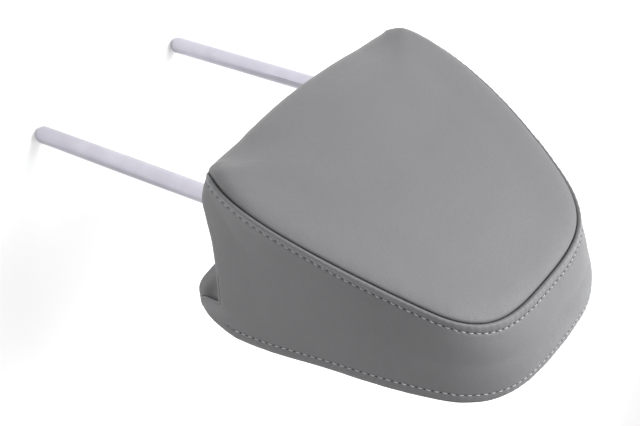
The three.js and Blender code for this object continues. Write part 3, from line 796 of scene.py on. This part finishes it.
# ---------------------------------------------------------------- chrome posts
def post_path():
    """Points and directions of the whole tube's middle line, from the right tip to the left one."""
    points, ahead = [], []

    def add(point, direction):
        points.append(point)
        ahead.append(direction)

    straight = [0, *[NOSE * (1 - math.cos(a * math.pi / 20)) for a in range(1, 11)]]
    straight += [8, 12, 20, 34, 50]
    for low in NOTCH_STARTS:
        high = low + NOTCH_HEIGHT
        straight += [low - 2, low - 0.35, low, low + 0.35, low + 1.5]
        straight += [high - 1.5, high - 0.35, high, high + 0.35, high + 2]
    straight += [124, 140, 160, 180, 200, 218]
    for z in straight:
        add((POST_X, 0, z), (0, 0, 1))
    for k in range(9):
        a = LEAN * k / 8
        add((POST_X, BEND_RADIUS * (1 - math.cos(a)), STRAIGHT + BEND_RADIUS * math.sin(a)),
            (0, math.sin(a), math.cos(a)))
    up = np.array([0, math.sin(LEAN), math.cos(LEAN)])
    foot = np.array([0, 0, STRAIGHT + BEND_RADIUS * math.tan(LEAN / 2)])
    for k in range(13):
        a = math.pi / 2 * k / 12
        point = foot + up * (FRAME_HEIGHT - CORNER_RADIUS * (1 - math.sin(a)))
        point[0] = POST_X - CORNER_RADIUS * (1 - math.cos(a))
        add(tuple(point), tuple(up * math.cos(a) + np.array([-math.sin(a), 0, 0])))
    right_points, right_ahead = np.array(points), np.array(ahead)
    left_points = right_points[::-1] * np.array([-1, 1, 1])
    left_ahead = right_ahead[::-1] * np.array([1, -1, -1])
    return np.concatenate([right_points, left_points]), np.concatenate([right_ahead, left_ahead])


def tube_radius(z):
    """Radius of the rounded nose near a tip, else the tube's."""
    if z >= NOSE:
        return TUBE_RADIUS
    return TIP_FLAT + (TUBE_RADIUS - TIP_FLAT) * math.sin(math.acos(1 - z / NOSE))


def notch_depth(z):
    """How deep the locking notch is at this height, or 0 between the notches."""
    return NOTCH_DEPTH * any(low <= z <= low + NOTCH_HEIGHT for low in NOTCH_STARTS)


def make_posts():
    """The bent tube, with its rounded noses and the notches cut flat into the posts' rear faces."""
    path, ahead = post_path()
    around = 64
    points = []
    for middle, direction in zip(path, ahead):
        rearward = np.array([0, math.cos(LEAN), -math.sin(LEAN)])
        if abs(direction[0]) < 1e-9:
            rearward = unit(np.cross(direction, [1.0, 0, 0])) * np.sign(direction[2])
            rearward = -rearward if rearward[1] < 0 else rearward
        other = unit(np.cross(direction, rearward))
        upright = abs(direction[2]) > 0.999
        radius = tube_radius(middle[2]) if upright else TUBE_RADIUS
        flat = radius - notch_depth(middle[2]) if upright else radius
        for j in range(around):
            a = 2 * math.pi * j / around
            out, across = min(radius * math.cos(a), flat), radius * math.sin(a)
            points.append(middle + rearward * out + other * across)
    index = np.arange(len(points)).reshape(len(path), around)
    index = np.column_stack([index, index[:, 0]])
    faces = grid_faces(index)
    for rim in (index[0, ::-1], index[-1]):
        centre = len(points)
        points.append(np.mean([points[k] for k in rim[:-1]], axis=0))
        faces += [(a, b, centre) for a, b in zip(rim.tolist(), rim[1:].tolist())]
    posts = make_object("chrome_posts", points, faces)
    turn_outwards(posts)
    return posts


posts = make_posts()


# ---------------------------------------------------------------- collars
def lathe(name, profile, x, y, around=72):
    """Closed ring turned about a vertical axis from a closed profile of (radius, z)."""
    points, faces, n = [], [], len(profile)
    for j in range(around):
        a = 2 * math.pi * j / around
        points += [(x + r * math.cos(a), y + r * math.sin(a), z) for r, z in profile]
    for j in range(around):
        for k in range(n):
            a, b = j * n + k, j * n + (k + 1) % n
            c, d = (j + 1) % around * n + (k + 1) % n, (j + 1) % around * n + k
            faces.append((a, b, c, d))
    made = make_object(name, points, faces)
    turn_outwards(made)
    return made


def collar_profile(low, high):
    """A flange with a rounded lower edge, a lead-in at the bore and a plain sleeve above it."""
    bore, sleeve, flange, edge = COLLAR_BORE, COLLAR_SLEEVE, COLLAR_FLANGE, COLLAR_ROUND
    profile = [(bore, high), (bore, low + 1.2), (bore + 0.2, low + 0.6), (bore + 0.7, low + 0.15)]
    profile.append((bore + 1.3, low))
    profile += [(flange - edge + edge * math.sin(a), low + edge - edge * math.cos(a))
                for a in (0, 0.3, 0.6, 0.9, 1.2, math.pi / 2)]
    profile += [(flange, low + 2.3), (flange - 0.2, low + 2.5)]
    return profile + [(sleeve, low + 2.5), (sleeve, high)]


collars = []
for side, node in ((1, "right_post_collar"), (-1, "left_post_collar")):
    low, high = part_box(node)
    collar = lathe(node + "_ring", collar_profile(low.z / MM, high.z / MM), side * POST_X, 0)
    collars.append((collar, node))


# ---------------------------------------------------------------- foam core
def make_foam():
    """The moulded foam, a rounded and slightly uneven body inside the cover, cavities included."""
    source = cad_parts["foam_bun"]
    core = bpy.data.objects.new("foam_core", source.data.copy())
    bpy.context.scene.collection.objects.link(core)
    remesh = core.modifiers.new("Remesh", "REMESH")
    remesh.mode = "VOXEL"
    remesh.voxel_size = FOAM_VOXEL * MM
    ease = core.modifiers.new("Ease", "SMOOTH")
    ease.factor = 0.5
    ease.iterations = 3
    bake_modifiers(core)
    for vertex in core.data.vertices:
        uneven = noise.noise(vertex.co * 60)
        vertex.co -= vertex.normal * (FOAM_INSET + FOAM_UNEVEN * uneven) * MM
        hits = [skin.find_nearest(vertex.co) for skin in OUTER_SKINS]
        nearest, outward = min(hits, key=lambda hit: hit[3])[:2]
        if (vertex.co - nearest).dot(outward) > -FOAM_DEPTH * MM:
            vertex.co = nearest - outward * FOAM_DEPTH * MM
    core.data.shade_smooth()
    return core


foam_core = make_foam()


# ---------------------------------------------------------------- materials
class Nodes:
    """Small helper that builds one procedural material."""

    def __init__(self, name):
        self.material = bpy.data.materials.new(name)
        self.material.use_nodes = True
        self.tree = self.material.node_tree
        self.shader = self.tree.nodes["Principled BSDF"]

    def add(self, kind, inputs=None, **settings):
        node = self.tree.nodes.new(kind)
        for key, value in settings.items():
            setattr(node, key, value)
        for key, value in (inputs or {}).items():
            self.put(node.inputs[key], value)
        return node

    def put(self, socket, value):
        if isinstance(value, bpy.types.NodeSocket):
            self.tree.links.new(value, socket)
        else:
            socket.default_value = value

    def math(self, operation, *values):
        node = self.add("ShaderNodeMath", operation=operation)
        for socket, value in zip(node.inputs, values):
            self.put(socket, value)
        return node.outputs[0]

    def ramp(self, value, low, high, out_low=0.0, out_high=1.0):
        node = self.add("ShaderNodeMapRange", interpolation_type="SMOOTHSTEP", clamp=True)
        for socket, v in zip(node.inputs, (value, low, high, out_low, out_high)):
            self.put(socket, v)
        return node.outputs[0]

    def mix(self, share, a, b):
        node = self.add("ShaderNodeMix", data_type="RGBA")
        self.put(node.inputs[0], share)
        self.put(node.inputs[6], a)
        self.put(node.inputs[7], b)
        return node.outputs[2]

    def noise(self, scale, detail, roughness, vector):
        inputs = {"Scale": scale, "Detail": detail, "Roughness": roughness, "Vector": vector}
        return self.add("ShaderNodeTexNoise", inputs).outputs[0]

    def cells(self, scale, vector, output, feature="F1"):
        inputs = {"Vector": vector, "Scale": scale}
        return self.add("ShaderNodeTexVoronoi", inputs, feature=feature).outputs[output]

    def stored(self, name):
        return self.add("ShaderNodeAttribute", attribute_name=name).outputs["Fac"]

    def position(self):
        return self.add("ShaderNodeTexCoord").outputs["Object"]

    def bump(self, height, distance, strength, normal=None):
        inputs = {"Strength": strength, "Distance": distance, "Height": height}
        node = self.add("ShaderNodeBump", inputs)
        if normal is not None:
            self.put(node.inputs["Normal"], normal)
        return node.outputs[0]

    def finish(self, **sockets):
        for key, value in sockets.items():
            self.put(self.shader.inputs[key.replace("_", " ")], value)
        return self.material


def grey(value, tint=(1, 1, 1)):
    return (value * tint[0], value * tint[1], value * tint[2], 1)


LEATHER_TINT = (0.985, 0.985, 1.02)


def leatherette():
    n = Nodes("leatherette")
    where = n.position()
    creases = n.ramp(n.cells(950.0, where, "Distance", "DISTANCE_TO_EDGE"), 0.0, 0.28)
    dips = n.math("SUBTRACT", 1.0, creases)
    fine = n.noise(2600.0, 3.0, 0.6, where)
    grain = n.math("MULTIPLY_ADD", creases, 0.7, n.math("MULTIPLY", fine, 0.3))
    cloudy = n.noise(9.0, 3.0, 0.5, where)
    patchy = n.noise(70.0, 5.0, 0.6, where)
    base = n.mix(n.ramp(cloudy, 0.3, 0.7), grey(0.128, LEATHER_TINT), grey(0.14, LEATHER_TINT))
    base = n.mix(n.ramp(patchy, 0.35, 0.75, 0.0, 0.35), base, grey(0.148, LEATHER_TINT))
    base = n.mix(n.math("MULTIPLY", dips, 0.16), base, grey(0.09))
    # Painted highlight: patches along the front roll are lightened here, and made slightly glossier
    # below.
    roll_highlight = n.math("MULTIPLY", n.stored("ridge"), n.ramp(patchy, 0.4, 0.7, 0.1, 0.5))
    base = n.mix(roll_highlight, base, grey(0.185, LEATHER_TINT))
    # Painted shade: darkens the leatherette in the seam grooves, along the slit and in the recess,
    # where the groove value is high.
    base = n.mix(n.ramp(n.stored("groove"), 0.35, 1.0, 0.0, 0.85), base, grey(0.02))
    half_on = n.math("FRACT", n.math("ADD", n.stored("stitch_phase"), 0.5))
    ahead = n.math("MULTIPLY", n.math("SUBTRACT", half_on, 0.5), STITCH_PITCH)
    aside = n.math("MULTIPLY", n.stored("stitch_aside"), 1.25)
    squares = [n.math("MULTIPLY", side, side) for side in (ahead, aside)]
    from_hole = n.math("SQRT", n.math("ADD", *squares))
    hole = n.ramp(from_hole, 0.5, 0.95, 1.0, 0.0)
    # Painted shade: the needle holes along the stitch rows are darkened almost to black.
    base = n.mix(n.math("MULTIPLY", hole, 0.85), base, grey(0.012))
    rough = n.ramp(patchy, 0.25, 0.8, 0.5, 0.62)
    rough = n.math("ADD", rough, n.math("MULTIPLY", dips, 0.08))
    rough = n.math("SUBTRACT", rough, n.math("MULTIPLY", roll_highlight, 0.12))
    normal = n.bump(n.math("SUBTRACT", 1.0, hole), 0.0006, 0.8)
    normal = n.bump(grain, 0.00015, 0.7, normal)
    normal = n.bump(patchy, 0.0004, 0.12, normal)
    return n.finish(Base_Color=base, Roughness=rough, Normal=normal, IOR=1.45,
                    Sheen_Weight=0.12, Sheen_Roughness=0.45)


def thread():
    n = Nodes("topstitch_thread")
    where = n.position()
    fuzz = n.noise(1800.0, 3.0, 0.6, where)
    strands = n.add("ShaderNodeTexWave", {"Vector": where, "Scale": 900.0, "Distortion": 1.5})
    shade = n.math("MULTIPLY_ADD", strands.outputs["Fac"], 0.4, n.math("MULTIPLY", fuzz, 0.6))
    base = n.mix(shade, grey(0.32, LEATHER_TINT), grey(0.5, LEATHER_TINT))
    normal = n.bump(shade, 0.0001, 0.5)
    return n.finish(Base_Color=base, Roughness=n.ramp(fuzz, 0.2, 0.8, 0.5, 0.7), Normal=normal,
                    Sheen_Weight=0.3)


def chrome():
    n = Nodes("polished_chrome")
    where = n.position()
    stretched = n.add("ShaderNodeMapping", {"Vector": where, "Scale": (40.0, 40.0, 900.0)})
    brushed = n.noise(1.0, 4.0, 0.6, stretched.outputs[0])
    haze = n.noise(35.0, 4.0, 0.55, where)
    specks = n.noise(1400.0, 2.0, 0.7, where)
    base = n.mix(n.ramp(haze, 0.35, 0.7), (0.37, 0.36, 0.41, 1), (0.41, 0.40, 0.45, 1))
    base = n.mix(n.ramp(specks, 0.72, 0.8, 0.0, 0.5), base, (0.34, 0.34, 0.37, 1))
    rough = n.math("MULTIPLY_ADD", brushed, 0.05, n.ramp(haze, 0.3, 0.75, 0.05, 0.11))
    normal = n.bump(brushed, 0.00002, 0.25)
    return n.finish(Base_Color=base, Metallic=1.0, Roughness=rough, Normal=normal)


def moulded_plastic():
    n = Nodes("black_moulded_plastic")
    where = n.position()
    spark = n.cells(1500.0, where, "Distance")
    flow = n.noise(25.0, 3.0, 0.5, where)
    base = n.mix(n.ramp(flow, 0.3, 0.7), grey(0.011), grey(0.02))
    rough = n.math("MULTIPLY_ADD", spark, 0.15, n.ramp(flow, 0.3, 0.7, 0.38, 0.5))
    return n.finish(Base_Color=base, Roughness=rough, Normal=n.bump(spark, 0.00008, 0.4))


def zinc():
    n = Nodes("zinc_plated_steel")
    where = n.position()
    spangle = n.cells(220.0, where, "Color")
    lightness = n.add("ShaderNodeRGBToBW", {"Color": spangle}).outputs[0]
    scratch = n.add("ShaderNodeMapping", {"Vector": where, "Scale": (1200.0, 60.0, 60.0)})
    lines = n.noise(1.0, 3.0, 0.6, scratch.outputs[0])
    base = n.mix(lightness, (0.42, 0.43, 0.44, 1), (0.58, 0.59, 0.6, 1))
    rough = n.math("MULTIPLY_ADD", lines, 0.15, n.ramp(lightness, 0.2, 0.8, 0.3, 0.42))
    normal = n.bump(lines, 0.00003, 0.3)
    return n.finish(Base_Color=base, Metallic=1.0, Roughness=rough, Normal=normal)


def open_foam():
    n = Nodes("moulded_foam")
    where = n.position()
    pores = n.cells(900.0, where, "Distance")
    age = n.noise(12.0, 4.0, 0.6, where)
    base = n.mix(n.ramp(age, 0.3, 0.7), (0.70, 0.62, 0.42, 1), (0.80, 0.74, 0.56, 1))
    base = n.mix(n.ramp(pores, 0.0, 0.35, 0.5, 0.0), base, (0.4, 0.34, 0.2, 1))
    return n.finish(Base_Color=base, Roughness=0.95, Normal=n.bump(pores, 0.0004, 0.6))


LEATHER, THREAD, CHROME = leatherette(), thread(), chrome()
PLASTIC, ZINC, FOAM = moulded_plastic(), zinc(), open_foam()


def wear(obj, material):
    obj.data.materials.clear()
    obj.data.materials.append(material)


covers = ((front_cover, "front_cover"), (band, "side_band_cover"), (rear_cover, "rear_cover"))
for cover, node in covers:
    wear(cover, LEATHER)
    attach(cover, "root")
    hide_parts(node)

for stitches in (front_stitches, rear_stitches):
    wear(stitches, THREAD)
    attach(stitches, "root")

wear(foam_core, FOAM)
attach(foam_core, "root")
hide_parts("foam_bun")

wear(posts, CHROME)
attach(posts, "root")
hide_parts("post_frame")

for collar, node in collars:
    wear(collar, PLASTIC)
    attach(collar, "root")
    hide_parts(node)

for name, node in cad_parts.items():
    if "shell" in name or "strip" in name:
        material = PLASTIC
    elif "plate" in name or "saddle" in name or "rivet" in name or "screw" in name:
        material = ZINC
    else:
        continue
    for slot in node.material_slots:
        slot.material = material


# ---------------------------------------------------------------- camera, floor and lights
CAMERA_PLACE = Vector((0.6064, -0.5081, 0.6920))
CAMERA_RIGHT = Vector((-0.5785, 0.0794, 0.8118))
CAMERA_UP = Vector((-0.5159, -0.8065, -0.2888))
CAMERA_AHEAD = Vector((-0.6318, 0.5859, -0.5075))
SENSOR, PICTURE_WIDTH, FOCAL_PIXELS = 36, 640, 1268.54

camera_data = bpy.data.cameras.new("camera")
camera_data.lens = FOCAL_PIXELS / PICTURE_WIDTH * SENSOR
camera_data.sensor_width = SENSOR
camera = bpy.data.objects.new("camera", camera_data)
bpy.context.scene.collection.objects.link(camera)
axes = Matrix((CAMERA_RIGHT, CAMERA_UP, -CAMERA_AHEAD)).transposed()
camera.matrix_world = Matrix.Translation(CAMERA_PLACE) @ axes.to_4x4()
bpy.context.scene.camera = camera

FLOOR_REACH, FLOOR_Z = 8000, -0.5
corners = ((-1, -1), (1, -1), (1, 1), (-1, 1))
floor = make_object(
    "floor", [(x * FLOOR_REACH, y * FLOOR_REACH, FLOOR_Z) for x, y in corners], [(0, 1, 2, 3)]
)
floor_look = Nodes("pale_floor")
floor_look.finish(Base_Color=grey(0.9), Roughness=0.9, Specular_IOR_Level=0.0,
                  Emission_Color=grey(1.0), Emission_Strength=0.2)
wear(floor, floor_look.material)


LIGHT_TARGET = Vector((0, 0.02, 0.28))
LIGHTS = (
    ("key", (-0.62, -0.5, 0.85), 2.6, 2.4, 62),
    ("top", (-0.3, -0.4, 1.0), 1.0, 0.7, 8.2),
    ("fill", (0.7, -0.25, 0.8), 1.6, 1.4, 5),
    ("rim", (-0.85, 0.5, 0.4), 1.5, 1.2, 9),
)
WORLD_STRENGTH = 0.49


def soft_light(name, direction, distance, size, power):
    """A round area light that looks at the head from a direction, at a distance in metres."""
    data = bpy.data.lights.new(name, "AREA")
    data.shape = "DISK"
    data.size = size
    data.energy = power
    made = bpy.data.objects.new(name, data)
    bpy.context.scene.collection.objects.link(made)
    way = Vector(direction).normalized()
    made.location = LIGHT_TARGET + way * distance
    made.rotation_mode = "QUATERNION"
    made.rotation_quaternion = way.to_track_quat("Z", "Y")


for light in LIGHTS:
    soft_light(*light)
world = bpy.data.worlds.new("studio")
world.use_nodes = True
sky = world.node_tree.nodes["Background"].inputs
sky["Color"].default_value = (1, 1, 1, 1)
sky["Strength"].default_value = WORLD_STRENGTH
bpy.context.scene.world = world
bpy.context.scene.view_settings.view_transform = "Standard"
